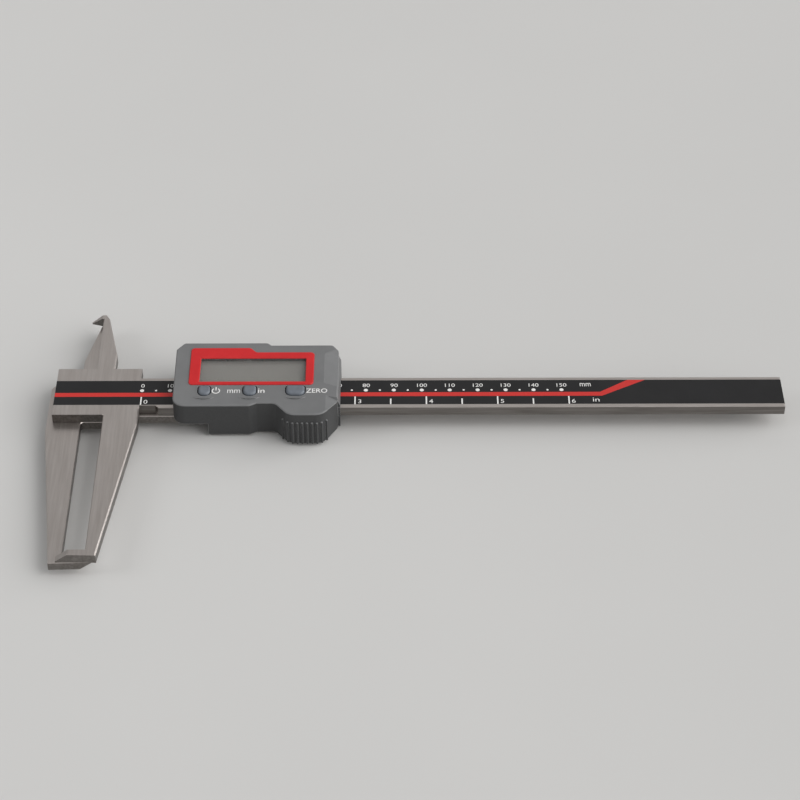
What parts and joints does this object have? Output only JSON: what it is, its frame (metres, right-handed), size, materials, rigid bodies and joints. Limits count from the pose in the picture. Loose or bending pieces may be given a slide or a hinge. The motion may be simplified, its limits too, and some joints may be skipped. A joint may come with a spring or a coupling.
{
  "type": "digital caliper",
  "caption": "Digital inside-groove caliper: graduated steel beam with a fixed pair of jaws, and a sliding display unit carrying the crossed moving jaws.",
  "frame": {"origin": "centre of the bounding box in plan, at the height of the rear cover, with the caliper closed and lying on its back", "axes": "+X along the beam away from the jaws, +Y from the long lower jaws towards the short upper jaws, +Z out of the display"},
  "size_m": [0.2622, 0.125, 0.0154],
  "materials": {
    "ground_steel": "fine ground stainless steel, satin",
    "label_print": "black printed film with a red stripe and white scale marks",
    "grating_laminate": "glass-epoxy strip with an etched copper pattern",
    "housing_grey": "moulded grey plastic, fine spark texture",
    "bezel_red": "red satin paint over plastic",
    "button_blue_grey": "dark blue-grey moulded rubber",
    "clear_window": "clear polycarbonate window",
    "lcd_glass": "grey-green segment display, switched off",
    "board_green": "green circuit board",
    "chip_black": "black moulded package",
    "crystal_can": "bright metal can",
    "strip_rubber": "pink elastomer connector",
    "dome_steel": "bright sprung steel",
    "gib_bronze": "phosphor bronze strip",
    "screw_steel": "plated steel screw",
    "cell_steel": "nickel-plated steel can",
    "contact_spring": "plated spring bronze",
    "cover_steel": "brushed stainless plate",
    "cap_grey": "moulded grey plastic",
    "seal_rubber": "black rubber",
    "knurled_brass": "nickel-plated brass with a straight knurl"
  },
  "bodies": {
    "beam": {"beam": "ground_steel", "scale_grating": "grating_laminate", "scale_label": "label_print", "end_stop": "ground_steel", "end_stop_screws": "screw_steel"},
    "slider": {"moving_jaw": "ground_steel", "front_rail": "ground_steel", "back_rail": "ground_steel", "rail_screws": "screw_steel", "gib_strip": "gib_bronze", "gib_screws": "screw_steel", "sensor_board": "board_green", "circuit_board": "board_green", "measuring_chip": "chip_black", "quartz_crystal": "crystal_can", "key_domes": "dome_steel", "lcd_panel": "lcd_glass", "contact_strips": "strip_rubber", "board_screws": "screw_steel", "lcd_window": "clear_window", "display_bezel": "bezel_red", "housing": "housing_grey", "button_cell": "cell_steel", "cell_contacts": "contact_spring", "rear_cover": "cover_steel", "housing_screws": "screw_steel", "plate_screws": "screw_steel"},
    "power_button": {"power_button": "button_blue_grey"},
    "unit_button": {"unit_button": "button_blue_grey"},
    "zero_button": {"zero_button": "button_blue_grey"},
    "lock_screw": {"lock_screw": "knurled_brass", "lock_pad": "gib_bronze"},
    "battery_cap": {"battery_cap": "cap_grey", "cap_seal": "seal_rubber"}
  },
  "joints": [
    {"name": "slider_travel", "type": "slide", "parent": "beam", "child": "slider", "axis": [1, 0, 0], "range_m": [0, 0.138]},
    {"name": "power_press", "type": "slide", "parent": "slider", "child": "power_button", "axis": [0, 0, -1], "range_m": [0, 0.0005], "stiffness_N_per_m": 2000},
    {"name": "unit_press", "type": "slide", "parent": "slider", "child": "unit_button", "axis": [0, 0, -1], "range_m": [0, 0.0005], "stiffness_N_per_m": 2000},
    {"name": "zero_press", "type": "slide", "parent": "slider", "child": "zero_button", "axis": [0, 0, -1], "range_m": [0, 0.0005], "stiffness_N_per_m": 2000},
    {"name": "lock_turn", "type": "hinge", "parent": "slider", "child": "lock_screw", "pos_m": [-0.0409, 0.0409, 0.00775], "axis": [0, -1, 0], "range_deg": [0, 90]},
    {"name": "battery_cap_turn", "type": "hinge", "parent": "slider", "child": "battery_cap", "pos_m": [-0.0621, 0.0399, 0.0075], "axis": [0, 1, 0], "range_deg": [0, 90]}
  ]
}
